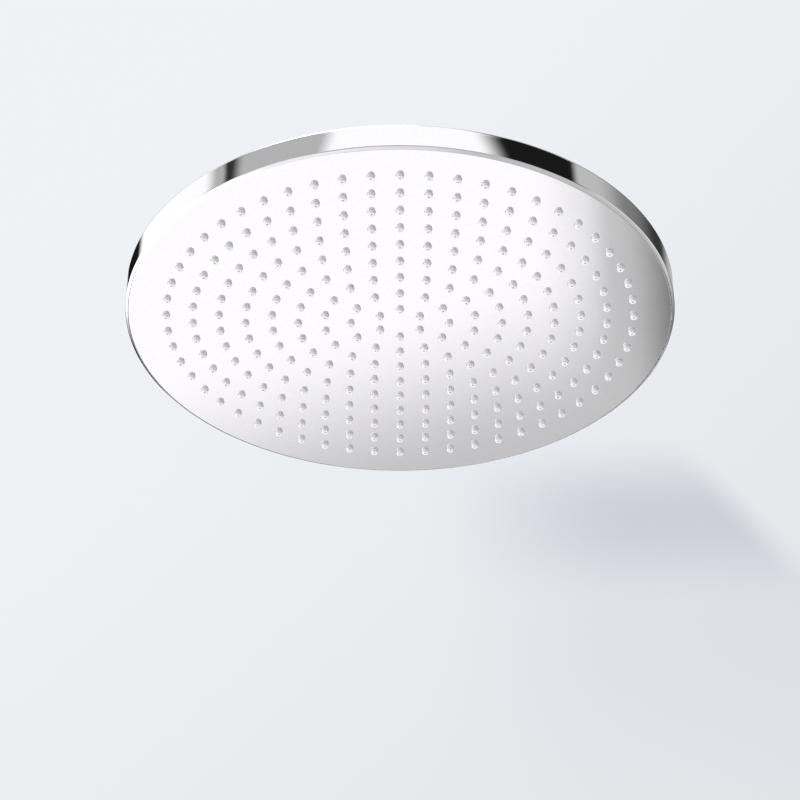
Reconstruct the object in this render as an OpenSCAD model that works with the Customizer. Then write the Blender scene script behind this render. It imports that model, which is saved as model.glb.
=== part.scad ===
// Round overhead rain shower with silicone nozzles, hung from a G1/2 pipe end by a union nut
// and a ball joint. Millimetres. +Z points up into the shower arm. The origin is the centre of
// the inlet nut's mouth. Heights in the Hidden section are counted up from the spray face, and
// in_frame() lowers every piece by the height of the whole fitting.

/* [Head] */
// Outer diameter of the round head
head_d = 300; // [220:1:400]
// Height of the rim, from the spray face up to the back edge
rim_h = 15.6; // [14.2:0.1:26]
// Sheet thickness of the housing
housing_wall = 1.5; // [1.2:0.1:2]
// Height of the bevel along the rim's lower edge
bevel_h = 1.1; // [0.5:0.1:3]
// Flat land left at the foot of the bevel
lip_land = 0.15; // [0.05:0.05:0.5]
// Rounding between the rim and the back, on the outside
back_round_r = 2; // [1.6:0.1:4]
// Rise of the back towards its hub, in mm per mm of radius
back_slope = 0.03; // [0.02:0.005:0.06]
// Width of the swept skirt between the hub and the plain back
skirt_w = 44; // [30:1:60]

/* [Spray face] */
// Radius of the innermost ring of nozzles
first_ring_r = 12.6; // [10:0.1:16]
// Distance from one ring of nozzles to the next
ring_pitch = 14.4; // [13:0.1:20]
// Nozzles added with each ring
nozzle_step = 6; // [4:1:7]
// Plain band outside the last ring, measured from the rim
plain_band = 22; // [20.5:0.5:40]
// Thickness of the face plate
plate_t = 1; // [0.8:0.1:2]
// Gap between the face plate's edge and the rim
plate_gap = 0.2; // [0.1:0.05:0.5]
// Diameter of a nozzle where it leaves the face plate
nozzle_d = 4; // [3:0.1:5]
// Diameter of a nozzle at its tip
nozzle_tip_d = 3.7; // [2.6:0.1:4.6]
// Height of a nozzle below the face plate
nozzle_h = 2; // [1.2:0.1:4]
// Rounding of a nozzle's tip
nozzle_round = 0.25; // [0.1:0.05:0.5]
// Diameter of a nozzle's outlet
outlet_d = 1.1; // [0.8:0.1:1.6]
// Diameter of the funnel that feeds a nozzle
funnel_d = 3; // [2:0.1:3.4]
// Play around a nozzle in its hole
nozzle_gap = 0.2; // [0.1:0.05:0.4]

/* [Water chamber] */
// Thickness of the nozzle mat's sheet
mat_t = 1.8; // [1.2:0.1:3]
// Thickness of the nozzle carrier
carrier_t = 3.5; // [3.2:0.1:4.5]
// Thickness of the chamber lid's roof
lid_t = 2.5; // [2:0.1:3.2]
// Thickness of the lid's clamping flange
lid_flange_t = 3; // [2:0.1:3.4]
// Air between the lid and the housing at the rim
lid_air = 1.3; // [1:0.1:2]
// Play between the chamber's plates and the rim
chamber_gap = 1.5; // [0.8:0.1:2]
// Distance from the last ring of nozzles to the lid's wall
chamber_margin = 3.2; // [3:0.1:4]
// Thickness of the lid's outer wall
lid_wall = 2.4; // [1.8:0.1:2.8]
// Width of the chamber seal
seal_w = 3; // [2:0.1:3.2]
// Height of the chamber seal
seal_h = 2; // [1.2:0.1:2.4]
// Distance from the lid's wall to the studs' circle
stud_offset = 6.6; // [6.4:0.1:7.2]
// Number of studs that clamp the chamber
stud_count = 12; // [8:1:24]
// Diameter of a stud
stud_d = 3; // [2.5:0.1:3.4]
// Outer diameter of a stud's washer
stud_washer_d = 7; // [6.2:0.1:7.6]
// Width of a stud's nut across its flats
stud_nut_af = 5.5; // [5:0.1:6]
// Height of a stud's nut
stud_nut_h = 2.4; // [1.6:0.1:2.6]
// Number of carrier screws on the inner circle
inner_screws = 6; // [3:1:10]
// Number of carrier screws on the outer circle
outer_screws = 12; // [6:1:20]
// Diameter of a carrier screw's shank
screw_d = 2.9; // [2:0.1:3.2]
// Diameter of a carrier screw's head
screw_head_d = 5.6; // [4.6:0.1:6]
// Height of a carrier screw's head
screw_head_h = 1.6; // [1:0.1:2]
// Diameter of the lid's pillars
pillar_d = 6.8; // [6:0.1:7.6]
// Number of stiffening ribs on the lid
rib_count = 12; // [6:1:24]
// Thickness of a rib
rib_t = 1.6; // [1:0.1:2.4]
// Diameter of the deflector under the inlet
deflector_d = 43.6; // [40:0.1:47]
// Thickness of the deflector
deflector_t = 1.4; // [1:0.1:1.6]

/* [Inlet socket] */
// Height of the lid's hub above its roof
lid_hub_h = 3.2; // [2.6:0.1:5]
// Diameter of the socket's flange
flange_d = 60; // [58:1:66]
// Thickness of the socket's flange
flange_t = 3.5; // [3:0.1:5]
// Room above the flange for the heads of its screws
flange_room = 3; // [2.9:0.1:5]
// Diameter of the shoulder that carries the housing
shoulder_d = 41; // [38:1:42]
// Outer diameter of the socket's threaded barrel
barrel_d = 35; // [34:0.1:37]
// Bore of the socket's cavity
cavity_d = 30.2; // [29:0.1:31]
// Height of the barrel above the housing's hub
barrel_h = 13; // [11.5:0.1:14]
// Thickness of the cavity's floor
floor_t = 3.2; // [2.4:0.1:4]
// Diameter of the spigot that enters the lid
spigot_d = 19; // [16:0.1:20]
// Bore of the spigot
spigot_bore_d = 13; // [10:0.1:13.4]
// Number of screws through the socket's flange
flange_screws = 4; // [3:1:6]
// Metal from the middle of a flange screw to the flange's edge
flange_edge = 5; // [4.5:0.1:5.4]
// Diameter of a flange screw
flange_screw_d = 4; // [3:0.1:4.2]
// Diameter of a flange screw's head
flange_head_d = 7; // [6:0.1:7.4]
// Height of a flange screw's head
flange_head_h = 2.6; // [2:0.1:2.7]
// Diameter of the spigot seal's section
spigot_seal_d = 2; // [1.6:0.1:2.4]

/* [Ball joint] */
// Diameter of the ball
ball_d = 24; // [23:0.1:24.6]
// Largest tilt to either side, in degrees
tilt_deg = 15; // [8:1:16]
// Play between the ball and its seats
ball_gap = 0.1; // [0.05:0.01:0.1]
// Play between the seats and the socket's cavity
seat_gap = 0.08; // [0.05:0.01:0.1]
// Height of the upper seat above the ball's centre
upper_seat_h = 7.4; // [6.6:0.1:7.8]
// Height left open between the two seats
seat_split = 2; // [1:0.1:3]
// Depth of the lower seat below the ball's centre
lower_seat_h = 11.2; // [11:0.1:12.6]
// Diameter of the ball seal's section
ball_seal_d = 2.6; // [2:0.1:2.8]
// Distance from the axis to the middle of the ball seal
ball_seal_r = 10.2; // [9.9:0.1:10.6]
// Thickness of the disc spring
spring_t = 0.6; // [0.4:0.1:1]
// Dish of the disc spring
spring_dish = 0.4; // [0.2:0.1:0.8]
// Outer diameter of the retaining collar
collar_d = 42; // [41:0.5:48]
// Thickness of the collar's lip over the upper seat
collar_lip_t = 2; // [1.4:0.1:2.2]
// Number of grip flutes around the collar
flute_count = 18; // [10:1:24]
// Outer diameter of the lock ring
lock_ring_d = 46; // [42:0.5:50]
// Height of the lock ring
lock_ring_h = 3.5; // [2.5:0.1:4]
// Thickness of the fibre washer under the lock ring
hub_washer_t = 1; // [0.5:0.1:1.5]

/* [Inlet] */
// Diameter of the ball stem's neck
neck_d = 13; // [12:0.1:13.6]
// Diameter of the stem inside the nut
stem_d = 16.2; // [15.6:0.1:16.6]
// Water bore through the ball stem
bore_d = 9; // [7:0.1:9.6]
// Height of the nut's lower face above the ball's centre
nut_rise = 14.6; // [14.4:0.1:17]
// Width of the nut across its flats
nut_af = 25; // [24:0.1:28]
// Thickness of the nut's shoulder
nut_shoulder_t = 3; // [2:0.1:4]
// Minor diameter of the nut's G1/2 thread
thread_minor_d = 18.63; // [18.6:0.01:19]
// Depth of the thread from the nut's mouth
thread_depth = 9.5; // [8:0.1:12]
// Diameter of the relief below the thread
relief_d = 20; // [19.2:0.1:20.6]
// Play between the stem and the nut
nut_gap = 0.08; // [0.03:0.01:0.1]
// Thickness of the stem's snap ring
clip_t = 1.4; // [1:0.1:1.8]
// Outer diameter of the stem's snap ring
clip_d = 18.4; // [17.8:0.1:18.5]
// Depth of the groove that holds the snap ring
clip_groove = 0.7; // [0.5:0.1:1]
// Height of the stem above its snap ring
stem_top_h = 2; // [1.2:0.1:3]
// Thickness of the inlet washer
inlet_washer_t = 2.5; // [1.5:0.1:3]
// Outer diameter of the inlet washer
inlet_washer_d = 18.4; // [17.6:0.1:18.5]
// Counterbore that holds the flow regulator
regulator_d = 11.2; // [10:0.1:11.8]
// Height of the flow regulator
regulator_h = 5.6; // [5:0.1:6.2]
// Diameter of the filter disc
filter_d = 13.2; // [12.4:0.1:14]
// Thickness of the filter disc
filter_t = 0.6; // [0.4:0.1:0.9]

/* [Hidden] */
$fn = 96;

// General play of a loose fit, and of a hole round a fastener
loose = 0.1;
hole_play = 0.2;
// Play left where flat faces turn against each other
face_play = 0.05;

// Radii of the head
head_r = head_d / 2;
inner_r = head_r - housing_wall;
plate_r = inner_r - plate_gap;
chamber_r = inner_r - chamber_gap;

// Rings of nozzles: as many as the face takes, each with nozzle_step more than the last
function ring_r(n) = first_ring_r + (n - 1) * ring_pitch;
ring_count = floor((head_r - plain_band - first_ring_r) / ring_pitch) + 1;
last_ring_r = ring_r(ring_count);
nozzle_r = nozzle_d / 2;

// Circles of the chamber
wall_r = last_ring_r + chamber_margin;
stud_r = wall_r + lid_wall + stud_offset;
seal_mid_r = wall_r + seal_w / 2 + (lid_wall - seal_w / 2) / 2;
inner_screw_r = ring_r(3.5);
outer_screw_r = ring_r(ring_count - 1.5);

// Heights above the spray face: the clamped plates
mat_z = plate_t;
carrier_z = mat_z + mat_t;
chamber_z = carrier_z + carrier_t;
lid_top = rim_h - housing_wall - lid_air;
roof_z = lid_top - lid_t;
flange_top = chamber_z + lid_flange_t;
stud_washer_t = 0.6;
stud_nut_z = flange_top + stud_washer_t;
stud_end = 0.8;

// Heights above the spray face: socket and housing hub
socket_z = lid_top + lid_hub_h;
flange_face = socket_z + flange_t;
shoulder_z = flange_face + flange_room;
hub_top = shoulder_z + housing_wall;
lock_ring_z = hub_top + hub_washer_t;
socket_top = hub_top + barrel_h;
cavity_z = socket_z + floor_t;
spigot_z = roof_z + loose;

// Heights above the spray face: ball joint and inlet
spring_h = spring_t + spring_dish;
ball_z = cavity_z + spring_h + lower_seat_h;
lip_z = ball_z + upper_seat_h + face_play;
collar_top = lip_z + collar_lip_t;
collar_z = lock_ring_z + lock_ring_h + 0.5;
nut_z = ball_z + nut_rise;
shoulder_top = nut_z + nut_shoulder_t;
clip_z = shoulder_top + face_play;
stem_top = clip_z + clip_t + stem_top_h;
pipe_stop = stem_top + inlet_washer_t;
nut_top = pipe_stop + thread_depth;

// Radii of the ball joint
ball_r = ball_d / 2;
seat_sphere_r = ball_r + ball_gap;
seat_r = cavity_d / 2 - seat_gap;
neck_r = neck_d / 2;
stem_r = stem_d / 2;
bore_r = bore_d / 2;
// The ball is cut off flat below, so low that it stays on its seal at the largest tilt
cut_angle = 60;
ball_cut = ball_r * sin(cut_angle);
mouth_r = tan(tilt_deg) * (collar_top - ball_z) + neck_r / cos(tilt_deg) + 0.6;
barrel_r = barrel_d / 2;
flange_screw_r = flange_d / 2 - flange_edge;
hub_r = flange_d / 2 + loose;
skirt_r = hub_r + skirt_w;

// Lowers a piece from the spray face's level to its place under the inlet's mouth
module in_frame() {
  translate([0, 0, -nut_top]) children();
}

// Puts a child at every nozzle, with one nozzle of each ring straight to the front
module at_nozzles() {
  for (n = [1 : ring_count], k = [0 : nozzle_step * n - 1])
    rotate(k * 360 / (nozzle_step * n) - 90) translate([ring_r(n), 0]) children();
}

// Puts copies of a child evenly on a circle
module around(count, r, turn = 0) {
  for (k = [0 : count - 1]) rotate(turn + k * 360 / count) translate([r, 0]) children();
}

// Points of an arc about [cx, cz], from angle a to angle b
function arc(cx, cz, r, a, b, steps) =
  [for (i = [0 : steps]) let (t = a + (b - a) * i / steps) [cx + r * cos(t), cz + r * sin(t)]];

// A flat ring of square section
module ring(outer_r, inner_r, h) {
  rotate_extrude() translate([inner_r, 0]) square([outer_r - inner_r, h]);
}

// A ring of round section
module round_ring(mid_r, section_r) {
  rotate_extrude() translate([mid_r, 0]) circle(section_r, $fn = 32);
}

// The outside of the back at radius r: a shallow cone, swept up to the hub by a cosine
function cone_z(r) = rim_h + (head_r - back_round_r - r) * back_slope;
function sweep(r) =
  r <= hub_r ? 1 : r >= skirt_r ? 0 : (1 + cos(180 * (r - hub_r) / skirt_w)) / 2;
function back_z(r) = cone_z(r) + (hub_top - cone_z(r)) * sweep(r);

// Spun brass shell: back, rim and bevelled lip in one, open below
module housing() {
  hole_r = barrel_r + loose;
  sweep_steps = 20;
  sweep_r = [for (i = [0 : sweep_steps]) hub_r + skirt_w * i / sweep_steps];
  outside = concat(
    [[inner_r, 0], [inner_r + lip_land, 0], [head_r, bevel_h]],
    arc(head_r - back_round_r, rim_h - back_round_r, back_round_r, 0, 90, 6),
    [for (i = [sweep_steps : -1 : 0]) [sweep_r[i], back_z(sweep_r[i])]],
    [[hole_r, hub_top]]
  );
  inside_round = back_round_r - housing_wall;
  inside = concat(
    [[hole_r, shoulder_z]],
    [for (r = sweep_r) [r, back_z(r) - housing_wall]],
    arc(inner_r - inside_round, rim_h - back_round_r, inside_round, 90, 0, 4)
  );
  color("gainsboro") in_frame() rotate_extrude($fn = 180) polygon(concat(outside, inside));
}

// Polished steel disc with a hole for every nozzle
module face_plate() {
  color("whitesmoke") in_frame() linear_extrude(plate_t) difference() {
    circle(plate_r, $fn = 180);
    at_nozzles() circle(nozzle_r + nozzle_gap, $fn = 32);
  }
}

// One nozzle, from the mat's sheet down to its rounded tip
module nozzle_body() {
  tip_r = nozzle_tip_d / 2;
  rotate_extrude($fn = 32) polygon(concat(
    [[0, -nozzle_h], [tip_r - nozzle_round, -nozzle_h]],
    [[tip_r, nozzle_round - nozzle_h], [nozzle_r, 0], [nozzle_r, mat_z + mat_t / 2]],
    [[0, mat_z + mat_t / 2]]
  ));
}

// The water way through one nozzle: a funnel and a fine outlet
module nozzle_way() {
  outlet_r = outlet_d / 2;
  rotate_extrude($fn = 32) polygon([
    [0, -nozzle_h - 1], [outlet_r, -nozzle_h - 1], [outlet_r, -nozzle_h / 2],
    [funnel_d / 2, mat_z], [funnel_d / 2, carrier_z + 1], [0, carrier_z + 1]
  ]);
}

// Silicone sheet moulded in one with all nozzles
module nozzle_mat() {
  color("white") in_frame() difference() {
    union() {
      translate([0, 0, mat_z]) linear_extrude(mat_t) difference() {
        circle(chamber_r, $fn = 180);
        around(stud_count, stud_r) circle(stud_d / 2 + hole_play, $fn = 24);
      }
      at_nozzles() nozzle_body();
    }
    at_nozzles() nozzle_way();
  }
}

// Moulded plate behind the mat, with a feed hole over every nozzle and a groove for the seal
module nozzle_carrier() {
  color("dimgray") in_frame() difference() {
    translate([0, 0, carrier_z]) linear_extrude(carrier_t) difference() {
      circle(chamber_r, $fn = 180);
      at_nozzles() circle(funnel_d / 2, $fn = 24);
      around(stud_count, stud_r) circle(stud_d / 2 + hole_play, $fn = 24);
      at_carrier_screws() circle(screw_d / 2 + loose, $fn = 24);
    }
    translate([0, 0, chamber_z - seal_h])
      ring(seal_mid_r + seal_w / 2, seal_mid_r - seal_w / 2, seal_h + 1);
    translate([0, 0, carrier_z - 1]) at_carrier_screws()
      cylinder(r = screw_head_d / 2 + loose, h = screw_head_h + 1, $fn = 32);
  }
}

// Puts a child at every carrier screw
module at_carrier_screws() {
  around(inner_screws, inner_screw_r) children();
  around(outer_screws, outer_screw_r, 180 / outer_screws) children();
}

// Flat-headed screws from below the carrier into the lid's pillars
module carrier_screws() {
  color("silver") in_frame() at_carrier_screws() difference() {
    union() {
      translate([0, 0, carrier_z]) cylinder(d = screw_head_d, h = screw_head_h, $fn = 32);
      translate([0, 0, carrier_z]) cylinder(d = screw_d, h = lid_top - 0.6 - carrier_z, $fn = 32);
    }
    translate([0, 0, carrier_z - 1]) cylinder(d = screw_head_d / 2.4, h = 1.8, $fn = 6);
  }
}

// Rubber ring pressed flat between the carrier and the lid
module chamber_seal() {
  color("black") in_frame() translate([0, 0, chamber_z - seal_h])
    ring(seal_mid_r + seal_w / 2 - loose, seal_mid_r - seal_w / 2 + loose, seal_h);
}

// Moulded roof of the water chamber, with pillars, ribs and the hub for the socket
module chamber_lid() {
  lid_hub_r = flange_d / 2;
  spigot_hole_r = spigot_d / 2 + loose;
  rib_gap = 0.6;
  rib_in = lid_hub_r - 1;
  rib_steps = 12;
  rib_max_z = socket_z - rib_gap;
  rib_r = [for (i = [0 : rib_steps]) rib_in + (wall_r - rib_in) * i / rib_steps];
  rib_top = [for (r = rib_r) [r, min(back_z(r) - housing_wall - rib_gap, rib_max_z)]];
  color("slategray") in_frame() difference() {
    union() {
      rotate_extrude($fn = 180) polygon([
        [spigot_hole_r, roof_z], [wall_r, roof_z], [wall_r, chamber_z],
        [chamber_r, chamber_z], [chamber_r, flange_top], [wall_r + lid_wall, flange_top],
        [wall_r + lid_wall, lid_top], [lid_hub_r, lid_top], [lid_hub_r, socket_z],
        [spigot_hole_r, socket_z]
      ]);
      at_carrier_screws() translate([0, 0, chamber_z])
        cylinder(d = pillar_d, h = roof_z - chamber_z + lid_t / 2, $fn = 32);
      for (k = [0 : rib_count - 1]) rotate((k + 0.5) * 360 / rib_count) rotate([90, 0, 0])
        translate([0, 0, -rib_t / 2]) linear_extrude(rib_t)
          polygon(concat(rib_top, [[wall_r, roof_z + lid_t / 2], [rib_in, roof_z + lid_t / 2]]));
    }
    around(stud_count, stud_r) translate([0, 0, chamber_z - 1])
      cylinder(r = stud_d / 2 + hole_play, h = lid_flange_t + 2, $fn = 24);
    at_carrier_screws() translate([0, 0, chamber_z - 1])
      cylinder(r = screw_d / 2 + loose, h = lid_top - 0.5 - chamber_z + 1, $fn = 24);
    around(flange_screws, flange_screw_r, 45) translate([0, 0, roof_z + 1])
      cylinder(r = flange_screw_d / 2 + loose, h = lid_top + lid_hub_h, $fn = 24);
  }
}

// Disc on four feet that breaks the jet from the inlet
module deflector() {
  foot_h = 1.1;
  foot_r = deflector_d / 2 - 2;
  color("slategray") in_frame() translate([0, 0, chamber_z]) {
    translate([0, 0, foot_h]) linear_extrude(deflector_t) difference() {
      circle(d = deflector_d);
      around(8, foot_r - 6) circle(1.4, $fn = 24);
    }
    around(4, foot_r, 45) cylinder(d = 3, h = foot_h + deflector_t / 2, $fn = 24);
  }
}

// Threaded studs welded to the back of the face plate
module face_studs() {
  color("silver") in_frame() around(stud_count, stud_r) translate([0, 0, plate_t])
    cylinder(d = stud_d, h = stud_nut_z + stud_nut_h + stud_end - plate_t, $fn = 24);
}

module stud_washers() {
  color("silver") in_frame() around(stud_count, stud_r) translate([0, 0, flange_top])
    ring(stud_washer_d / 2, stud_d / 2 + loose, stud_washer_t);
}

module stud_nuts() {
  color("goldenrod") in_frame() around(stud_count, stud_r) translate([0, 0, stud_nut_z])
    difference() {
      cylinder(r = stud_nut_af / 2 / cos(30), h = stud_nut_h, $fn = 6);
      translate([0, 0, -1]) cylinder(r = stud_d / 2 + face_play, h = stud_nut_h + 2, $fn = 24);
    }
}

// Turned brass socket: spigot into the lid, flange, shoulder for the housing and threaded barrel.
// The shoulder is cut away round a screw's head where the two would meet.
module inlet_socket() {
  spigot_r = spigot_d / 2;
  groove_z = (spigot_z + socket_z) / 2;
  color("darkgoldenrod") in_frame() difference() {
    rotate_extrude() polygon([
      [spigot_bore_d / 2, spigot_z], [spigot_r, spigot_z], [spigot_r, socket_z],
      [flange_d / 2, socket_z], [flange_d / 2, flange_face], [shoulder_d / 2, flange_face],
      [shoulder_d / 2, shoulder_z], [barrel_r, shoulder_z], [barrel_r, socket_top],
      [cavity_d / 2, socket_top], [cavity_d / 2, cavity_z], [spigot_bore_d / 2, cavity_z]
    ]);
    translate([0, 0, groove_z - spigot_seal_d / 2])
      ring(spigot_r + 1, spigot_r + loose - spigot_seal_d, spigot_seal_d);
    around(flange_screws, flange_screw_r, 45) translate([0, 0, socket_z - 1])
      cylinder(r = flange_screw_d / 2 + loose, h = flange_t + 2, $fn = 24);
    around(flange_screws, flange_screw_r, 45) translate([0, 0, flange_face])
      cylinder(r = flange_head_d / 2 + loose, h = flange_room + 1, $fn = 32);
  }
}

// Round rubber ring in the spigot's groove
module spigot_seal() {
  section_r = spigot_seal_d / 2;
  color("black") in_frame() translate([0, 0, (spigot_z + socket_z) / 2])
    round_ring(spigot_d / 2 + loose - section_r, section_r);
}

// Screws that hold the socket's flange on the lid's hub
module socket_screws() {
  color("silver") in_frame() around(flange_screws, flange_screw_r, 45) difference() {
    union() {
      translate([0, 0, flange_face]) cylinder(d = flange_head_d, h = flange_head_h, $fn = 32);
      translate([0, 0, roof_z + 1.4])
        cylinder(d = flange_screw_d, h = flange_face + 0.5 - roof_z - 1.4, $fn = 32);
    }
    translate([0, 0, flange_face + flange_head_h - 1.5])
      cylinder(d = flange_head_d / 2, h = 2, $fn = 6);
  }
}

module hub_washer() {
  color("firebrick") in_frame() translate([0, 0, hub_top])
    ring(lock_ring_d / 2 - 1, barrel_r + loose, hub_washer_t);
}

// Thin ring nut that clamps the housing on the socket's shoulder, with four spanner slots
module lock_ring() {
  outer_r = lock_ring_d / 2;
  edge = 0.6;
  color("gainsboro") in_frame() translate([0, 0, lock_ring_z]) difference() {
    rotate_extrude() polygon([
      [barrel_r + face_play, 0], [outer_r, 0], [outer_r, lock_ring_h - edge],
      [outer_r - edge, lock_ring_h], [barrel_r + face_play, lock_ring_h]
    ]);
    around(4, outer_r) translate([0, 0, -1]) linear_extrude(lock_ring_h + 2)
      square([3.2, 4], center = true);
  }
}

// Chromed cap nut over the upper seat: it sets how firmly the ball is held
module retaining_collar() {
  outer_r = collar_d / 2;
  crown = 2.4;
  flare = 0.9;
  color("gainsboro") in_frame() difference() {
    rotate_extrude() polygon(concat(
      [[barrel_r + face_play, collar_z], [outer_r - 0.4, collar_z], [outer_r, collar_z + 0.4]],
      arc(outer_r - crown, collar_top - crown, crown, 0, 90, 6),
      [[mouth_r + flare, collar_top], [mouth_r, collar_top - flare], [mouth_r, lip_z]],
      [[barrel_r + face_play, lip_z]]
    ));
    around(flute_count, outer_r + 1) translate([0, 0, collar_z - 1])
      cylinder(r = 1.6, h = collar_top - crown - collar_z + 0.4, $fn = 24);
  }
}

// Two plastic seats, cut to the ball's sphere, one above and one below its centre
module upper_seat() {
  high = asin(upper_seat_h / seat_sphere_r);
  color("ivory") in_frame() translate([0, 0, ball_z]) difference() {
    translate([0, 0, seat_split / 2]) cylinder(r = seat_r, h = upper_seat_h - seat_split / 2);
    sphere(seat_sphere_r);
    translate([0, 0, upper_seat_h - 1]) cylinder(r = seat_sphere_r * cos(high), h = 2);
  }
}

module lower_seat() {
  pocket_z = seal_drop() + ball_seal_d / 2;
  color("ivory") in_frame() translate([0, 0, ball_z]) difference() {
    translate([0, 0, -lower_seat_h]) cylinder(r = seat_r, h = lower_seat_h - seat_split / 2);
    sphere(seat_sphere_r);
    translate([0, 0, -pocket_z])
      ring(ball_seal_r + ball_seal_d / 2 + face_play, ball_seal_r - ball_seal_d / 2 - face_play, 6);
    translate([0, 0, -lower_seat_h - 1]) cylinder(r = spigot_bore_d / 2 + 1, h = lower_seat_h);
  }
}

// Depth of the ball seal's middle below the ball's centre, where it just clears the ball
function seal_drop() = sqrt(pow(seat_sphere_r + ball_seal_d / 2, 2) - pow(ball_seal_r, 2));

module ball_seal() {
  color("black") in_frame() translate([0, 0, ball_z - seal_drop()])
    round_ring(ball_seal_r, ball_seal_d / 2);
}

// Dished steel ring that keeps the seats pressed on the ball
module disc_spring() {
  outer_r = seat_r - 0.3;
  inner_r = spigot_bore_d / 2 + 2.5;
  color("silver") in_frame() translate([0, 0, cavity_z]) rotate_extrude() polygon([
    [outer_r, 0], [outer_r, spring_t], [inner_r, spring_h], [inner_r, spring_dish]
  ]);
}

// Turned brass stem: ball, neck and the tail that the nut turns on, bored through
module ball_stem() {
  neck_start = acos(neck_r / ball_r);
  groove_r = stem_r - clip_groove;
  mouth = 1;
  step_z = stem_top - ball_z - regulator_h - 0.2;
  color("gainsboro") in_frame() translate([0, 0, ball_z]) rotate_extrude() polygon(concat(
    [[bore_r + mouth, -ball_cut]],
    arc(0, 0, ball_r, -cut_angle, neck_start, 30),
    [[neck_r, nut_rise - 2], [stem_r, nut_rise - 0.4]],
    [[stem_r, clip_z - ball_z], [groove_r, clip_z - ball_z]],
    [[groove_r, clip_z - ball_z + clip_t], [stem_r, clip_z - ball_z + clip_t]],
    [[stem_r, stem_top - ball_z - 0.4], [stem_r - 0.4, stem_top - ball_z]],
    [[regulator_d / 2, stem_top - ball_z], [regulator_d / 2, step_z], [bore_r, step_z]],
    [[bore_r, mouth - ball_cut]]
  ));
}

// Split spring ring that holds the nut on the stem
module stem_clip() {
  color("silver") in_frame() translate([0, 0, clip_z]) difference() {
    ring(clip_d / 2, stem_r - clip_groove + face_play, clip_t);
    translate([0, -1.2, -1]) cube([clip_d, 2.4, clip_t + 2]);
  }
}

// Hexagonal chromed nut with a G1/2 female thread and a shoulder that grips the snap ring
module union_nut() {
  corner_r = nut_af / 2 / cos(30);
  nut_h = nut_top - nut_z;
  chamfer_h = (corner_r - nut_af / 2) * 0.7;
  color("gainsboro") in_frame() translate([0, 0, nut_z]) difference() {
    intersection() {
      cylinder(r = corner_r, h = nut_h, $fn = 6);
      rotate_extrude() polygon([
        [0, 0], [nut_af / 2 - 0.3, 0], [corner_r, chamfer_h + 0.2],
        [corner_r, nut_h - chamfer_h - 0.2], [nut_af / 2 - 0.3, nut_h], [0, nut_h]
      ]);
    }
    translate([0, 0, -1]) cylinder(r = stem_r + nut_gap, h = nut_h);
    translate([0, 0, nut_shoulder_t])
      cylinder(d = relief_d, h = nut_h - nut_shoulder_t - thread_depth);
    translate([0, 0, nut_h - thread_depth - 1]) cylinder(d = thread_minor_d, h = thread_depth + 2);
  }
}

// Rubber washer between the pipe's end and the stem, with a step for the filter
module inlet_washer() {
  color("black") in_frame() translate([0, 0, stem_top]) difference() {
    ring(inlet_washer_d / 2, regulator_d / 2, inlet_washer_t);
    translate([0, 0, inlet_washer_t - filter_t]) cylinder(d = filter_d, h = filter_t + 1);
  }
}

// Perforated steel disc that keeps grit out of the regulator
module filter_screen() {
  hole_pitch = 1.9;
  rows = 3;
  color("silver") in_frame() translate([0, 0, pipe_stop - filter_t])
    linear_extrude(filter_t) difference() {
      circle(filter_d / 2 - face_play);
      circle(0.55, $fn = 16);
      for (n = [1 : rows]) around(6 * n, hole_pitch * n) circle(0.55, $fn = 16);
    }
}

// Plastic cartridge with six ways round a core, and a rubber ring that narrows them
module flow_regulator() {
  body_r = regulator_d / 2 - loose;
  color("seagreen") in_frame() translate([0, 0, stem_top - regulator_h - 0.2]) difference() {
    cylinder(r = body_r, h = regulator_h);
    translate([0, 0, regulator_h - 2]) ring(body_r - 1, 1.6, 3);
    around(6, 2.9) translate([0, 0, -1]) cylinder(r = 0.9, h = regulator_h, $fn = 24);
  }
}

module regulator_ring() {
  section_r = 0.8;
  color("black") in_frame()
    translate([0, 0, stem_top - 2.2 + section_r]) round_ring(2.95, section_r);
}

union_nut();
inlet_washer();
filter_screen();
flow_regulator();
regulator_ring();
ball_stem();
stem_clip();
upper_seat();
lower_seat();
ball_seal();
disc_spring();
retaining_collar();
lock_ring();
hub_washer();
inlet_socket();
socket_screws();
spigot_seal();
housing();
chamber_lid();
deflector();
nozzle_carrier();
chamber_seal();
carrier_screws();
nozzle_mat();
face_plate();
face_studs();
stud_washers();
stud_nuts();
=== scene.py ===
import math

import bpy
import numpy as np
from mathutils.geometry import delaunay_2d_cdt
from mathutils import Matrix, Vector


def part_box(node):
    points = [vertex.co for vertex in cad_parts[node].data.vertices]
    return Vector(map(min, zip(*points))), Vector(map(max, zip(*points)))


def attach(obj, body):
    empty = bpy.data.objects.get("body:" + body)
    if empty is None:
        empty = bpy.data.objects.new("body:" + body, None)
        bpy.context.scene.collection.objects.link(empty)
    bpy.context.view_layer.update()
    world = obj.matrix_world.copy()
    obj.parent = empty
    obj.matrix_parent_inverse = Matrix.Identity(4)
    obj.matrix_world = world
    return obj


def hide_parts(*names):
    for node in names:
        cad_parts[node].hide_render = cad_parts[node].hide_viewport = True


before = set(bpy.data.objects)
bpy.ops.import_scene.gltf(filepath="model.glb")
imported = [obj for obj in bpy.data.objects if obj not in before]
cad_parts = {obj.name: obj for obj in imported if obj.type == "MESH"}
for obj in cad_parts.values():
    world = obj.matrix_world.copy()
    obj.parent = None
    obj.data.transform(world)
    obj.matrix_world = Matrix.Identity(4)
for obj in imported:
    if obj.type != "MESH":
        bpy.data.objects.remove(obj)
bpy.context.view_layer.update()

# The view looks up at the spray face from in front and below, through a long lens, so that the
# head's near edge with its bright rim is at the top of the picture and the far edge at the bottom.
face_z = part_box("face_plate")[0].z
camera_back = 1.1831
camera_drop = 0.8608
camera_pitch = math.radians(34.395)
picture_px = 800
focal_px = 2671
view_data = bpy.data.cameras.new("view")
view_data.sensor_width = 36
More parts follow.
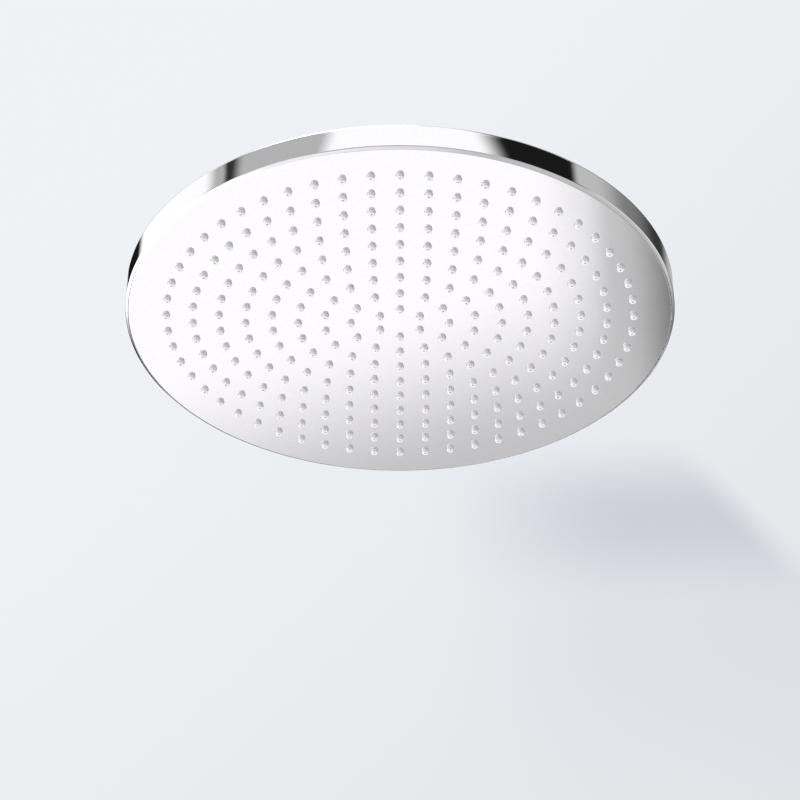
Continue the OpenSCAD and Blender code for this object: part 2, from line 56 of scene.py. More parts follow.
view_data.lens = view_data.sensor_width * focal_px / picture_px
view = bpy.data.objects.new("view", view_data)
view.location = (0, -camera_back, face_z - camera_drop)
view.rotation_euler = (math.pi / 2 + camera_pitch, 0, 0)
bpy.context.scene.collection.objects.link(view)
bpy.context.scene.camera = view

# The housing is one brass shell, spun over a former: hub, swept back, rim and bevelled lip. It is
# ground, polished, nickel plated and chromed to a mirror. The lock ring clamps it on the socket.
mm = 0.001
head_r, rim_h, wall = 150.0, 15.6, 1.5
lip_r, bevel_h, back_round = 148.65, 1.1, 2.0
hub_r, skirt_w, hub_hole_r, hub_h = 30.1, 44.0, 17.6, 24.0
back_slope = 0.03
rim_crown = 0.02
chrome_tint = (0.87, 0.87, 0.873, 1)


class Shader:
    """The node tree of a material or of the world."""

    def __init__(self, owner):
        owner.use_nodes = True
        self.tree = owner.node_tree
        self.tree.nodes.clear()

    def add(self, kind, settings=None, inputs=None, output=0):
        """Adds a node. Its settings are set first, then its sockets, by name or number, take a
        value or a field."""
        node = self.tree.nodes.new(kind)
        for name, value in (settings or {}).items():
            setattr(node, name, value)
        for name, value in (inputs or {}).items():
            if isinstance(value, Field):
                self.tree.links.new(value.socket, node.inputs[name])
            else:
                node.inputs[name].default_value = value
        return Field(self, node.outputs[output]) if node.outputs else None

    def place(self):
        """Object coordinates in millimetres."""
        socket = self.add("ShaderNodeTexCoord", output="Object")
        return self.add("ShaderNodeVectorMath", {"operation": "SCALE"}, {0: socket, "Scale": 1 / mm})

    def noise(self, where, size, detail=2.0, roughness=0.5):
        """Smooth noise from 0 to 1 whose blots are about size millimetres wide."""
        inputs = {"Vector": where, "Scale": 1 / size, "Detail": detail, "Roughness": roughness}
        return self.add("ShaderNodeTexNoise", None, inputs)

    def blend(self, factor, low, high):
        """Colour low where factor is 0, colour high where it is 1."""
        inputs = {"Factor": factor, "A": low, "B": high}
        return self.colour_mix({"data_type": "RGBA"}, inputs)

    def colour_mix(self, settings, inputs):
        node = self.tree.nodes.new("ShaderNodeMix")
        for name, value in settings.items():
            setattr(node, name, value)
        sockets = {"Factor": 0, "A": 6, "B": 7}
        for name, value in inputs.items():
            socket = node.inputs[sockets[name]]
            if isinstance(value, Field):
                self.tree.links.new(value.socket, socket)
            else:
                socket.default_value = value
        return Field(self, node.outputs[2])

    def bump(self, height, depth):
        """Normal of a surface whose relief is depth millimetres where height goes from 0 to 1."""
        return self.add("ShaderNodeBump", None, {"Height": height, "Distance": depth * mm})

    def paint(self, **sockets):
        """Ends the tree in a Principled shader with these sockets, by their names in words."""
        named = {name.replace("_", " ").title(): value for name, value in sockets.items()}
        named = {name.replace("Ior", "IOR"): value for name, value in named.items()}
        surface = self.add("ShaderNodeBsdfPrincipled", None, named)
        self.add("ShaderNodeOutputMaterial", None, {"Surface": surface})


class Field:
    """One shader value that takes arithmetic: each operation adds the Math node that does it."""

    def __init__(self, shader, socket):
        self.shader, self.socket = shader, socket

    def math(self, operation, *others):
        inputs = dict(enumerate((self,) + others))
        return self.shader.add("ShaderNodeMath", {"operation": operation}, inputs)

    def __add__(self, other):
        return self.math("ADD", other)

    def __sub__(self, other):
        return self.math("SUBTRACT", other)

    def __mul__(self, other):
        return self.math("MULTIPLY", other)

    def __truediv__(self, other):
        return self.math("DIVIDE", other)

    def __rsub__(self, other):
        return (self * -1) + other

    __radd__, __rmul__ = __add__, __mul__

    def part(self, number):
        """One component of a vector: 0, 1 or 2."""
        return self.shader.add("ShaderNodeSeparateXYZ", None, {0: self}, number)

    def rise(self, low, high):
        """0 up to low, 1 from high on, and a smooth S between them."""
        settings = {"interpolation_type": "SMOOTHSTEP"}
        inputs = {"Value": self, "From Min": low, "From Max": high}
        return self.shader.add("ShaderNodeMapRange", settings, inputs)

    def hump(self, low, high, soft):
        """1 between low and high, and 0 beyond soft outside them."""
        return self.rise(low - soft, low) * (1 - self.rise(high, high + soft))


def new_shader(name):
    material = bpy.data.materials.new(name)
    return material, Shader(material)


def plated(name, tint, gloss):
    """Polished plating: a broad, hardly visible wave left by the polishing wheel, fine swirls in
    the gloss, and a tint that varies by a hair."""
    material, shader = new_shader(name)
    where = shader.place()
    wave = shader.noise(where, 34, 1)
    swirl = shader.noise(where, 3, 5, 0.7)
    dim = tuple(0.975 * channel for channel in tint[:3]) + (1,)
    shader.paint(
        base_color=shader.blend(swirl.rise(0.3, 0.7), dim, tint),
        metallic=1.0,
        roughness=gloss + 0.02 * swirl,
        normal=shader.bump(wave, 0.012),
    )
    return material


def piece(name, points, faces, material, slot, body, *nodes):
    mesh = bpy.data.meshes.new(name)
    placed = points.reshape(-1, 3) * mm + np.array((0, 0, face_z))
    mesh.from_pydata(placed.tolist(), [], faces)
    mesh.shade_smooth()
    mesh.set_sharp_from_angle(angle=math.radians(38))
    mesh.materials.append(material)
    made = bpy.data.objects.new(name, mesh)
    bpy.context.scene.collection.objects.link(made)
    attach(made, body)
    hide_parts(*nodes)
    return made


def grid_faces(rows, columns, first=0):
    """Quads of a grid that is closed both ways: (i, j), (i, j + 1), (i + 1, j + 1), (i + 1, j)."""
    index = first + np.arange(rows * columns).reshape(rows, columns)
    beside, above = np.roll(index, -1, 1), np.roll(index, -1, 0)
    return np.stack([index, beside, np.roll(beside, -1, 0), above], -1).reshape(-1, 4)


def fillet(corner, before, after, radius, steps=5, hold=0.06):
    """Arc of the given radius that touches both sides of a corner. With half the corner's angle a,
    it starts radius / tan a from the corner, and its centre is radius / sin a away. A point is
    held just outside each end, so that the flats beside it stay flat when shaded."""
    to_a, to_b = before - corner, after - corner
    to_a, to_b = to_a / np.hypot(*to_a), to_b / np.hypot(*to_b)
    half = math.acos(np.clip(to_a @ to_b, -1, 1)) / 2
    reach, middle = radius / math.tan(half), to_a + to_b
    centre = corner + middle / np.hypot(*middle) * radius / math.sin(half)
    start, end = corner + to_a * reach - centre, corner + to_b * reach - centre
    turn = math.pi - 2 * half
    t = np.linspace(0, 1, steps + 1)[:, None]
    arc = centre + (np.sin((1 - t) * turn) * start + np.sin(t * turn) * end) / math.sin(turn)
    return np.vstack([arc[:1] + to_a * hold, arc, arc[-1:] + to_b * hold])


def outline(corners):
    """Closed outline through corners (radius, height, fillet), anticlockwise with the axis on the
    left. A corner with fillet 0 is kept as it is."""
    points = np.array([c[:2] for c in corners], float)
    rounded = [
        fillet(points[i], points[i - 1], points[(i + 1) % len(points)], c[2]) if c[2] else points[i:i + 1]
        for i, c in enumerate(corners)
    ]
    return np.vstack(rounded)


def turned(profile, columns):
    """Surface of revolution: (r cos t, r sin t, z) for each point (r, z) and each angle t."""
    t = np.arange(columns) * 2 * math.pi / columns
    r, z = profile[:, :1], profile[:, 1:]
    return np.stack([r * np.cos(t), r * np.sin(t), z + 0 * t], -1)


def back_height(r):
    """Outside of the back: a shallow cone, raised to the hub by half a cosine over the skirt."""
    cone = rim_h + (head_r - back_round - r) * back_slope
    share = np.clip((r - hub_r) / skirt_w, 0, 1)
    return cone + (hub_h - cone) * (1 + np.cos(math.pi * share)) / 2


def with_no_fillet(r, z):
    return [(a, b, 0) for a, b in zip(r, z)]


rim_z = np.linspace(bevel_h + 0.6, rim_h - back_round, 13)
rim_share = 2 * (rim_z - bevel_h) / (rim_h - back_round - bevel_h) - 1
turn_in = np.radians(np.linspace(7.5, 90, 12))
round_r = head_r - back_round + back_round * np.cos(turn_in)
round_z = rim_h - back_round + back_round * np.sin(turn_in)
skirt = np.concatenate([np.linspace(140, 80, 4), np.linspace(hub_r + skirt_w, hub_r, 45)])
inner_r = head_r - wall
housing_outline = outline(
    [(inner_r, 0, 0.05), (lip_r, 0, 0.06), (head_r - rim_crown, bevel_h, 0.7)]
    + with_no_fillet(head_r - rim_crown * rim_share**2, rim_z)
    + with_no_fillet(round_r, round_z)
    + with_no_fillet(skirt, back_height(skirt))
    + [(hub_hole_r, hub_h, 0.2), (hub_hole_r, hub_h - wall, 0.2)]
    + with_no_fillet(skirt[::-1], back_height(skirt[::-1]) - wall)
    + [(inner_r, rim_h - wall, 0.5)]
)
chrome = plated("polished_chrome", chrome_tint, 0.03)
housing_points = turned(housing_outline, 360)
piece("spun_housing", housing_points, grid_faces(len(housing_outline), 360).tolist(),
      chrome, "chrome", "head", "housing")

# The face plate is a stainless steel disc, laser cut and then polished to a mirror, with one hole
# for every nozzle. Its edge and the holes are broken by the polishing.
plate_r, plate_t = 148.3, 1.0
ring_count, nozzle_step, first_ring_r, ring_pitch = 9, 6, 12.6, 14.4
hole_r, hole_round = 2.2, 0.1
hole_sides, edge_sides = 20, 360
steel_tint = (0.86, 0.858, 0.862, 1)


def ring_centres(count, r, turn=0.0):
    """Points (x, y) evenly around a circle, the first at the angle turn."""
    t = turn + np.arange(count) * 2 * math.pi / count
    return np.stack([r * np.cos(t), r * np.sin(t)], -1)


def net(circles):
    """Triangles that fill the space between circles of points, the first circle being the outer
    edge: a constrained Delaunay net, less each triangle whose points all lie on one hole."""
    points = np.vstack(circles)
    sizes = [len(c) for c in circles]
    starts = np.cumsum([0] + sizes[:-1])
    owner = np.repeat(np.arange(len(sizes)), sizes)
    index = np.arange(len(points))
    following = index + 1
    following[starts + np.array(sizes) - 1] = starts
    edges = np.stack([index, following], -1).tolist()
    out, _, triangles, origin, _, _ = delaunay_2d_cdt(points.tolist(), edges, [], 0, 1e-6)
    back = np.array([o[0] for o in origin])
    triangles = back[np.array(triangles)]
    held = owner[triangles]
    inside = (held[:, 0] == held[:, 1]) & (held[:, 1] == held[:, 2]) & (held[:, 0] > 0)
    return triangles[~inside]


def pierced(edge, holes):
    """Points and faces of a sheet between its lower and its upper face. edge holds the points
    (r, z) of its outer edge from the lower face up, and holes pairs of centres and a way, the
    points (r, z) around each centre from the lower face to the upper one."""
    rims = [turned(edge, edge_sides)]
    for centres, way in holes:
        one = turned(way, hole_sides)
        rims += [one + np.array((x, y, 0)) for x, y in centres]
    starts = np.cumsum([0] + [rim[..., 0].size for rim in rims])
    faces = []
    for first, rim in zip(starts, rims):
        rows, columns = rim.shape[:2]
        quads = grid_faces(rows, columns, first)[:-columns]
        faces += (quads if first == 0 else quads[:, ::-1]).tolist()
    for row, flip in ((0, -1), (-1, 1)):
        numbers = np.concatenate([
            first + np.arange(rim.shape[1]) + (row % rim.shape[0]) * rim.shape[1]
            for first, rim in zip(starts, rims)
        ])
        faces += numbers[net([rim[row, :, :2] for rim in rims])][:, ::flip].tolist()
    return np.vstack([rim.reshape(-1, 3) for rim in rims]), faces


def arc(r, z, radius, start, end, steps):
    """Points of an arc about (r, z), from one angle in degrees to another."""
    t = np.radians(np.linspace(start, end, steps + 1))
    return np.stack([r + radius * np.cos(t), z + radius * np.sin(t)], -1)


nozzle_places = np.vstack([
    ring_centres(nozzle_step * n, first_ring_r + (n - 1) * ring_pitch, -math.pi / 2)
    for n in range(1, ring_count + 1)
])
plate_round = 0.45
plate_edge = np.vstack([
    [(plate_r - plate_round - 0.1, 0)],
    arc(plate_r - plate_round, plate_round, plate_round, -90, 0, 4),
    [(plate_r, plate_round + 0.1), (plate_r, plate_t)],
])
hole_way = np.vstack([
    [(hole_r + hole_round + 0.08, 0)],
    arc(hole_r + hole_round, hole_round, hole_round, -90, -180, 3),
    [(hole_r, plate_t)],
])
mirror = plated("mirror_steel", steel_tint, 0.035)
plate_points, plate_faces = pierced(plate_edge, [(nozzle_places, hole_way)])
piece("mirror_plate", plate_points, plate_faces, mirror, "mirror_steel", "head", "face_plate")

# The nozzle mat is one moulding of pale silicone: a sheet behind the plate with a soft nozzle
# through every hole, so that lime can be rubbed off. Each nozzle fills its hole with a wider root
# and tapers to a rounded tip.
mat_r, mat_z, mat_t = 147.0, 1.0, 1.8
nozzle_r, tip_r, nozzle_h, tip_round = 2.0, 1.85, 2.0, 0.25
root_r, root_z = 2.17, 0.35
outlet_r, funnel_r = 0.55, 1.5
stud_places = ring_centres(12, 140.0)
stud_hole_r = 1.7


def moulded_silicone(name, colour):
    """White silicone: slightly translucent, dull from the etched mould, with cloudy patches."""
    material, shader = new_shader(name)
    where = shader.place()
    cloud = shader.noise(where, 6, 3)
    etched = shader.noise(where, 0.22, 2)
    shade = tuple(0.96 * channel for channel in colour[:3]) + (1,)
    shader.paint(
        base_color=shader.blend(cloud.rise(0.3, 0.7), shade, colour),
        roughness=0.4 + 0.12 * etched,
        normal=shader.bump(etched, 0.006),
        ior=1.41,
        subsurface_weight=0.4,
        subsurface_radius=(0.9, 0.9, 0.9),
        subsurface_scale=0.0016,
    )
    return material


tip_centre_z = tip_round - nozzle_h
nozzle_way = np.vstack([
    [(root_r, mat_z), (root_r, root_z), (nozzle_r, 0)],
    arc(tip_r - tip_round, tip_centre_z, tip_round, 0, -90, 2),
    [(outlet_r + 0.05, -nozzle_h), (outlet_r, 0.15 - nozzle_h)],
    [(outlet_r, -nozzle_h / 2), (funnel_r, mat_z), (funnel_r, mat_z + mat_t)],
])
stud_way = np.array([(stud_hole_r, mat_z), (stud_hole_r, mat_z + mat_t)])
mat_edge = np.array([(mat_r, mat_z), (mat_r, mat_z + mat_t)])
silicone = moulded_silicone("pale_silicone", (0.9, 0.9, 0.905, 1))
mat_points, mat_faces = pierced(mat_edge, [(nozzle_places, nozzle_way), (stud_places, stud_way)])
piece("silicone_nozzles", mat_points, mat_faces, silicone, "silicone", "head", "nozzle_mat")

# The ball stem is turned from one brass bar and chromed: the ball that the head tilts on, a neck,
# and the tail that the union nut turns on, with a groove for its snap ring.
ball_z, ball_r, ball_cut_angle = 31.4, 12.0, 60
neck_r, stem_r, bore_r = 6.5, 8.1, 4.5
groove_r, groove_z, groove_h = 7.4, 49.05, 1.4
stem_top, stem_foot, counterbore_r, counterbore_z = 52.45, 45.6, 5.6, 46.65
ball_end = math.degrees(math.acos((neck_r + 0.25) / ball_r))
ball_cut = ball_z - ball_r * math.sin(math.radians(ball_cut_angle))
ball_line = arc(0, ball_z, ball_r, -ball_cut_angle, ball_end, 60)
stem_outline = outline(
    [(bore_r + 1, ball_cut, 0)]
    + with_no_fillet(*ball_line.T)
    + [(neck_r, ball_line[-1][1] + 0.6, 0), (neck_r, stem_foot - 1.6, 0.5), (stem_r, stem_foot, 0.2)]
    + [(stem_r, groove_z, 0.05), (groove_r, groove_z, 0), (groove_r, groove_z + groove_h, 0)]
    + [(stem_r, groove_z + groove_h, 0.05), (stem_r, stem_top, 0.3), (counterbore_r, stem_top, 0.1)]
    + [(counterbore_r, counterbore_z, 0), (bore_r, counterbore_z, 0), (bore_r, ball_cut + 1, 0)]
)
stem_points = turned(stem_outline, 144)
piece("chromed_ball_stem", stem_points, grid_faces(len(stem_outline), 144).tolist(),
      chrome, "chrome", "stem", "ball_stem")

# The retaining collar is a chromed cap nut, screwed over the socket's barrel. Turned by hand on
# its 18 flutes, it sets how firmly the seats hold the ball.
collar_r, collar_z, collar_top, crown_r = 21.0, 29.0, 40.85, 2.4
thread_r, lip_under, mouth_r, mouth_flare = 17.55, 38.85, 9.861, 0.9
flute_count, flute_depth, flute_half, flute_end = 18, 0.6, 1.5, 37.85
flute_columns = 20
collar_outline = outline(
    [(thread_r, collar_z, 0.1), (collar_r - 0.4, collar_z, 0.12), (collar_r, collar_z + 0.4, 0.12)]
    + with_no_fillet(np.full(12, collar_r), np.linspace(collar_z + 1, flute_end, 12))
    + with_no_fillet(*arc(collar_r - crown_r, collar_top - crown_r, crown_r, 4, 86, 14).T)
    + [(mouth_r + mouth_flare, collar_top, 0.3), (mouth_r, collar_top - mouth_flare, 0.2)]
    + [(mouth_r, lip_under, 0), (thread_r, lip_under, 0)]
)
collar_points = turned(collar_outline, flute_count * flute_columns)
across = (np.arange(flute_count * flute_columns) % flute_columns + 0.5) / flute_columns - 0.5
across = across * 2 * math.pi * collar_r / flute_count
groove = np.where(abs(across) < flute_half, (1 + np.cos(math.pi * across / flute_half)) / 2, 0)
height = collar_points[..., 2]
fade = np.clip((flute_end - height) / 1.1, 0, 1)
cut_to = collar_r - flute_depth * groove * fade * fade * (3 - 2 * fade)
reach = np.hypot(collar_points[..., 0], collar_points[..., 1])
collar_points[..., :2] *= (np.minimum(reach, cut_to) / reach)[..., None]
piece("fluted_collar", collar_points, grid_faces(*collar_points.shape[:2]).tolist(),
      chrome, "chrome", "head", "retaining_collar")

# The lock ring is a thin chromed ring nut with four slots for a hook spanner. It clamps the
# housing's hub on the socket's shoulder, with a red fibre washer between them.
ring_r, ring_z, ring_h = 23.0, 25.0, 3.5
slot_count, slot_half, slot_floor_r = 4, 1.6, 21.0
ring_outline = outline([
    (thread_r, ring_z, 0.1), (ring_r, ring_z, 0.1), (ring_r, ring_z + ring_h - 0.6, 0.15),
    (ring_r - 0.6, ring_z + ring_h, 0.15), (thread_r, ring_z + ring_h, 0.15),
])
ring_columns = 720
ring_points = turned(ring_outline, ring_columns)
reach = np.hypot(ring_points[..., 0], ring_points[..., 1])
turn = np.arange(ring_columns) * 2 * math.pi / ring_columns
off_slot = (turn + math.pi / slot_count) % (2 * math.pi / slot_count) - math.pi / slot_count
floor = np.where(abs(ring_r * np.sin(off_slot)) < slot_half, slot_floor_r / np.cos(off_slot), ring_r)
ring_points[..., :2] *= (np.minimum(reach, floor) / reach)[..., None]
piece("slotted_lock_ring", ring_points, grid_faces(*ring_points.shape[:2]).tolist(),
      chrome, "chrome", "head", "lock_ring")

# The union nut is a chromed hexagon with chamfered corners. Its half-inch pipe thread takes the
# shower arm, and its shoulder hangs the stem by the snap ring.
nut_z, nut_top, nut_flat_r = 46.0, 64.45, 12.5
shoulder_h, shoulder_r, relief_r = 3.0, 8.18, 10.0
thread_minor_r, thread_major_r, thread_pitch, thread_h = 9.315, 10.48, 1.814, 9.5
nut_columns, corner_power = 240, 44
turn = np.arange(nut_columns) * 2 * math.pi / nut_columns
flats = np.array([30, 90, 150])[:, None] * math.pi / 180
hexagon = nut_flat_r / (abs(np.cos(turn - flats)) ** corner_power).sum(0) ** (1 / corner_power)
chamfer_r = nut_flat_r - 0.3
chamfer_rise = 0.8


def nut_side(share, tip):
    """Rows from the chamfer's inner edge to where it meets the flats: the chamfer climbs by
    chamfer_rise per millimetre of radius, so it ends higher at the corners, in an arc on each
    flat. tip is the height of the face, and share runs from 0 at the face to 1 at the arc."""
    r = chamfer_r + (hexagon - chamfer_r) * share
    return r, tip + (1 if tip == nut_z else -1) * chamfer_rise * (r - chamfer_r)


def nut_row(r, z):
    return np.stack([r * np.cos(turn), r * np.sin(turn), z + 0 * turn], -1)


thread_z = np.linspace(nut_top - 0.9, nut_top - thread_h, 84)
thread_rows = []
for z in thread_z:
    ridge = abs(((z / thread_pitch - turn / (2 * math.pi)) % 1) * 2 - 1)
    ease = np.clip((z - nut_top + thread_h) / thread_pitch, 0, 1)
    depth = (thread_major_r - thread_minor_r) * ease * np.clip(ridge * 1.25 - 0.125, 0, 1)
    thread_rows.append(nut_row(thread_minor_r + depth, z))
steady = np.ones(nut_columns)
low_arc, high_arc = nut_side(1, nut_z), nut_side(1, nut_top)
nut_points = np.array(
    [nut_row(shoulder_r * steady, nut_z + 0.2), nut_row((shoulder_r + 0.2) * steady, nut_z)]
    + [nut_row((chamfer_r - 0.1) * steady, nut_z)]
    + [nut_row(*nut_side(share, nut_z)) for share in (0, 0.1, 0.5, 0.9)]
    + [nut_row(*low_arc), nut_row(hexagon, low_arc[1] + 0.15)]
    + [nut_row(hexagon, low_arc[1] * (1 - s) + high_arc[1] * s) for s in (0.2, 0.4, 0.6, 0.8)]
    + [nut_row(hexagon, high_arc[1] - 0.15), nut_row(*high_arc)]
    + [nut_row(*nut_side(share, nut_top)) for share in (0.9, 0.5, 0.1, 0)]
    + [nut_row((chamfer_r - 0.1) * steady, nut_top), nut_row((thread_major_r + 0.1) * steady, nut_top)]
    + thread_rows
    + [nut_row(relief_r * steady, nut_top - thread_h - 0.3), nut_row(relief_r * steady, nut_z + shoulder_h)]
    + [nut_row(shoulder_r * steady, nut_z + shoulder_h)]
)
piece("chromed_union_nut", nut_points, grid_faces(*nut_points.shape[:2]).tolist(),
      chrome, "chrome", "inlet", "union_nut")

# The inner pieces keep the shape that they have on the bench: brass from the lathe, moulded
# plastic, rubber rings, pressed steel and zinc plated fasteners. Each finish is a short function.


def lathe_brass(name, colour):
    """Brass as it leaves the lathe: fine turning lines around the axis, warm and cool patches."""
    material, shader = new_shader(name)
    where = shader.place()
    x, y, z = (where.part(i) for i in range(3))
    away = (x * x + y * y).math("SQRT")
    line = ((away + z) * 24).math("SINE")
    patch = shader.noise(where, 7, 3)
    dark = tuple(0.82 * channel for channel in colour[:3]) + (1,)
    shader.paint(
        base_color=shader.blend(patch.rise(0.3, 0.75), dark, colour),
        metallic=1.0,
        roughness=0.22 + 0.16 * patch,
        normal=shader.bump(line * 0.5 + patch, 0.01),
    )
    return material


def drawn_steel(name, colour, gloss):
    """Spring or zinc plated steel: fine grain from drawing, and slight clouds of the plating."""
    material, shader = new_shader(name)
    where = shader.place()
    cloud = shader.noise(where, 2.2, 4)
    grain = shader.noise(where, 0.15, 3, 0.7)
    dark = tuple(0.86 * channel for channel in colour[:3]) + (1,)
    shader.paint(
        base_color=shader.blend(cloud.rise(0.35, 0.7), dark, colour),
        metallic=1.0,
        roughness=gloss + 0.14 * grain,
        normal=shader.bump(grain, 0.004),
    )
    return material


def moulded_plastic(name, colour, gloss, grain_size):
    """Moulded plastic: a fine eroded grain, soft sink clouds and streaks of the melt's flow."""
    material, shader = new_shader(name)
    where = shader.place()
    grain = shader.noise(where, grain_size, 3, 0.6)
    stretch = shader.add("ShaderNodeMapping", None, {"Vector": where, "Scale": (0.3, 0.3, 2.5)})
    flow = shader.noise(stretch, 5, 4)
    pale = tuple(min(1, 1.1 * channel + 0.012) for channel in colour[:3]) + (1,)
    shader.paint(
        base_color=shader.blend(flow.rise(0.4, 0.75), colour, pale),
        roughness=gloss + 0.15 * grain,
        normal=shader.bump(grain, 0.015),
        ior=1.47,
    )
    return material


def pressed_rubber(name, colour):
    """Black rubber: matt, with the faint bloom and dust that it carries from the bag."""
    material, shader = new_shader(name)
    where = shader.place()
    bloom = shader.noise(where, 3, 5, 0.65)
    skin = shader.noise(where, 0.3, 3)
    dusty = tuple(channel + 0.035 for channel in colour[:3]) + (1,)
    shader.paint(
        base_color=shader.blend(bloom.rise(0.45, 0.8), colour, dusty),
        roughness=0.55 + 0.2 * skin,
        normal=shader.bump(skin, 0.01),
        ior=1.5,
    )
    return material


def pressed_fibre(name, colour):
    """Vulcanised fibre: hard red-brown paper board, with short strands and a rough cut edge."""
    material, shader = new_shader(name)
    where = shader.place()
    stretch = shader.add("ShaderNodeMapping", None, {"Vector": where, "Scale": (1, 5, 3)})
    strand = shader.noise(stretch, 1.4, 4, 0.7)
    dark = tuple(0.6 * channel for channel in colour[:3]) + (1,)
    shader.paint(
        base_color=shader.blend(strand.rise(0.35, 0.65), dark, colour),
        roughness=0.6 + 0.2 * strand,
        normal=shader.bump(strand, 0.03),
    )
    return material


brass = lathe_brass("lathe_brass", (0.80, 0.62, 0.33, 1))
spring = drawn_steel("spring_steel", (0.62, 0.63, 0.65, 1), 0.22)
zinc = drawn_steel("zinc_plated_steel", (0.72, 0.73, 0.75, 1), 0.28)
rubber = pressed_rubber("black_rubber", (0.028, 0.028, 0.03, 1))
fibre = pressed_fibre("red_fibre", (0.42, 0.085, 0.05, 1))
acetal = moulded_plastic("white_acetal", (0.86, 0.85, 0.81, 1), 0.3, 0.5)
chamber_plastic = moulded_plastic("grey_chamber_plastic", (0.19, 0.2, 0.215, 1), 0.36, 0.35)
cartridge = moulded_plastic("green_cartridge", (0.1, 0.38, 0.22, 1), 0.32, 0.4)
finishes = {
    brass: ("inlet_socket", "stud_nuts"),
    spring: ("stem_clip", "disc_spring", "filter_screen"),
    zinc: ("socket_screws", "carrier_screws", "face_studs", "stud_washers"),
    rubber: ("inlet_washer", "regulator_ring", "ball_seal", "spigot_seal", "chamber_seal"),
    fibre: ("hub_washer",),
    acetal: ("upper_seat", "lower_seat"),
    chamber_plastic: ("chamber_lid", "nozzle_carrier", "deflector"),
    cartridge: ("flow_regulator",),
}
for finish, nodes in finishes.items():
    for node in nodes:
        for material_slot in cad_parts[node].material_slots:
            material_slot.material = finish

# The studio is a pale room with large soft lights and black flags around the head, given by
# direction, because the chrome shows them as clean bands. The camera sees the pale room alone.
upper_cards = [
    (-167, -162, 0, 0.009), (-143.5, -136, 0, 1.15), (-91, -82, -1, 0.49), (-80.5, -77, -1, 0.035),
    (-75, -68, 0, 0.52), (-34.5, -26, 1.5, 1.15), (31, 45, -2.5, 0.011), (75.5, 80.5, 0, 0.57),
    (88, 112, 0, 0.22), (112, 136, 0, 0.04), (140, 157, 0, 0.5), (160, 172, 0, 0.8),
]
lower_cards = [
    (-168, -145, 0, 2.1), (-95, -60, 0, 1.0), (-40, 5, 0, 0.86), (5, 50, 0, 0.6),
    (125, 145, 0, 0.4), (160, 178, 0, 1.16),
]
room = bpy.data.worlds.new("studio")
bpy.context.scene.world = room
air = Shader(room)
way = air.add("ShaderNodeTexCoord", output="Generated")
east, north, up = (way.part(i) for i in range(3))
azimuth = east.math("ARCTAN2", north * -1) * math.degrees(1)
behind = east.math("ARCTAN2", north) * math.degrees(1)
elevation = up.math("ARCSINE") * math.degrees(1)
rim_elevation = 39.9
tilt = (elevation - rim_elevation).math("MAXIMUM", -0.8).math("MINIMUM", 0.8)


def cards(start, table):
    """Radiance by azimuth: from start on, each card (from, to, lean, level) takes the value
    smoothly to its own level between two angles, in degrees from the front and to the right. Its
    edge leans by so many degrees for each degree of elevation."""
    value = start
    for low, high, lean, level in table:
        step = (azimuth - tilt * lean if lean else azimuth).rise(low, high)
        value = value * (1 - step) + level * step
    return value


def over(value, level, share):
    """Value, taken to level where share is 1."""
    return value * (1 - share) + share * level


high_light = over(cards(0.8, upper_cards), 0.85, elevation.rise(58, 76))
low_light = over(cards(1.16, lower_cards), 1.05, 1 - elevation.rise(-82, -70))
light = over(low_light, high_light, elevation.rise(-14, 8))
# A grey wall in front at eye level, a bright strip to the right, and behind and below the large
# white sheet that the mirror face shows, with its soft edge to the right and above.
light = over(light, 0.5, azimuth.hump(-30, 45, 15) * elevation.hump(-48, 22, 9))
light = over(light, 0.95, azimuth.hump(82, 118, 12) * elevation.hump(-12, 16, 8))
sheet_side = behind.rise(3.6, 5.2) * 0.4 + behind.rise(4.95, 5.75) * 0.6
sheet_end = (elevation + behind * 0.242).rise(-36.3, -32.5)
sheet = over(1.16 - 0.53 * (1 - (1 - sheet_side) * (1 - sheet_end)), 0.15, behind.rise(5.9, 7.7))
light = over(light, sheet, behind.hump(-12, 8, 6) * elevation.hump(-43, -29, 7))
lamp_level = air.add("ShaderNodeCombineXYZ", None, {0: light, 1: light * 0.985, 2: light})
studio_light = air.add("ShaderNodeBackground", None, {"Color": lamp_level, "Strength": 1.0})
# Painted shade: the backdrop colour goes from bright at the upper left to shade towards the lower right.
bright, shade = (0.868, 0.885, 0.918, 1), (0.745, 0.76, 0.795, 1)
across = (east * 2.2 - up * 2.6 + 1.72).rise(-0.2, 1.2)
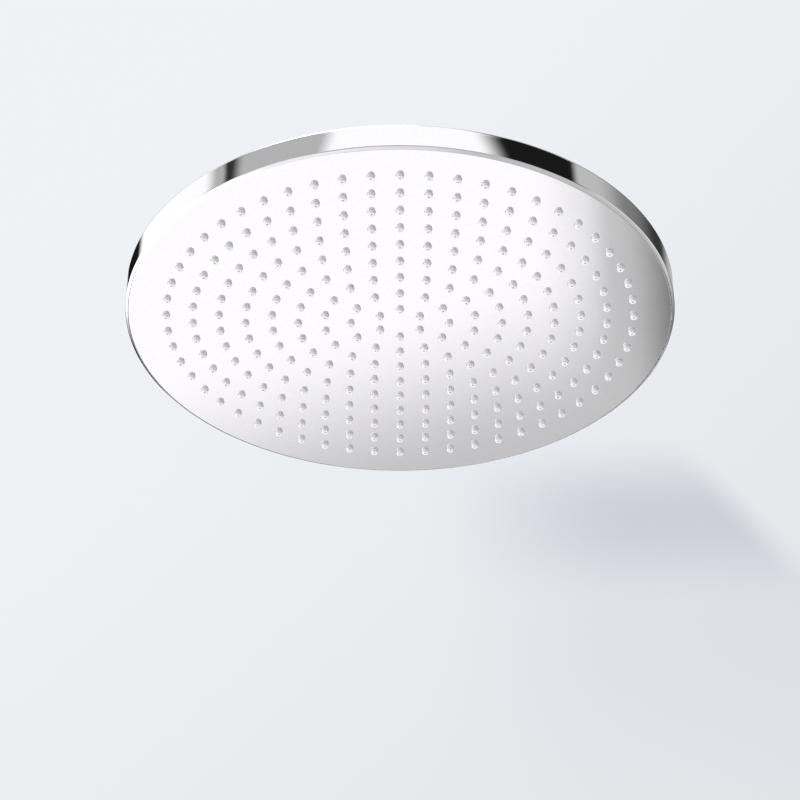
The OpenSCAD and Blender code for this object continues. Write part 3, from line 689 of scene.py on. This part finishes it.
# A painted shadow: the backdrop colour is darkened softly to the lower right, where the head and its arm
# would cast their shadow on the wall behind. Its places are measured in the picture, in pixels from the
# middle: to the right, and down.
shadow_line, shadow_slope, shadow_middle = 267.5, 1.07, 115
ahead = north * math.cos(camera_pitch) + up * math.sin(camera_pitch)
right = east / ahead * focal_px
down = (north * math.sin(camera_pitch) - up * math.cos(camera_pitch)) / ahead * focal_px
below = down - shadow_middle
painted_shadow_core = below.rise(-85, -5) * (1 - below.rise(5, 95))
painted_shadow_fringe = below.rise(-85, -5) * (1 - below.rise(100, 330))
inside = (down - right * shadow_slope + shadow_line).rise(-12, 40) * right.rise(10, 240)
inside = inside * ahead.rise(0, 0.2) * (1 - right.rise(500, 800))
painted_wall_shade = air.blend(across, bright, shade)
# Painted shadow: inside that shape the backdrop colour is blended toward a bluish grey.
painted_wall_shade = air.blend(inside * (painted_shadow_core * 0.7 + painted_shadow_fringe * 0.3), painted_wall_shade, (0.61, 0.632, 0.69, 1))
backdrop = air.add("ShaderNodeBackground", None, {"Color": painted_wall_shade})
rays = air.add("ShaderNodeLightPath", output="Is Camera Ray")
seen = air.add("ShaderNodeMixShader", None, {0: rays, 1: studio_light, 2: backdrop})
air.add("ShaderNodeOutputWorld", None, {"Surface": seen})

# The floor is a wide pale sheet well below the hanging head. It keeps the head's soft shadow from
# the lamp above, and is seen by the camera alone.
floor_z, floor_r = -1.35, 14.0
floor_material, floor_shader = new_shader("pale_floor")
pale = floor_shader.add("ShaderNodeBsdfDiffuse", None, {"Color": (0.8, 0.81, 0.83, 1)})
glow = floor_shader.add("ShaderNodeEmission", None, {"Color": (0.8, 0.815, 0.845, 1), "Strength": 0.5})
both = floor_shader.add("ShaderNodeAddShader", None, {0: pale, 1: glow})
floor_shader.add("ShaderNodeOutputMaterial", None, {"Surface": both})
floor_mesh = bpy.data.meshes.new("floor")
corners = [(x * floor_r, y * floor_r, floor_z) for x, y in ((-1, -1), (1, -1), (1, 1), (-1, 1))]
floor_mesh.from_pydata(corners, [], [(0, 1, 2, 3)])
floor_mesh.materials.append(floor_material)
ground = bpy.data.objects.new("floor", floor_mesh)
bpy.context.scene.collection.objects.link(ground)
ground.visible_glossy = ground.visible_diffuse = ground.visible_transmission = False
ground.visible_shadow = False
lamp_data = bpy.data.lights.new("top_softbox", "AREA")
lamp_data.size, lamp_data.energy = 1.2, 22
lamp = bpy.data.objects.new("top_softbox", lamp_data)
lamp.location = (-0.5, -0.6, 1.9)
lamp.rotation_euler = (math.radians(-17), math.radians(-14), 0)
lamp.visible_camera = False
bpy.context.scene.collection.objects.link(lamp)
bpy.context.scene.view_settings.view_transform = "Standard"
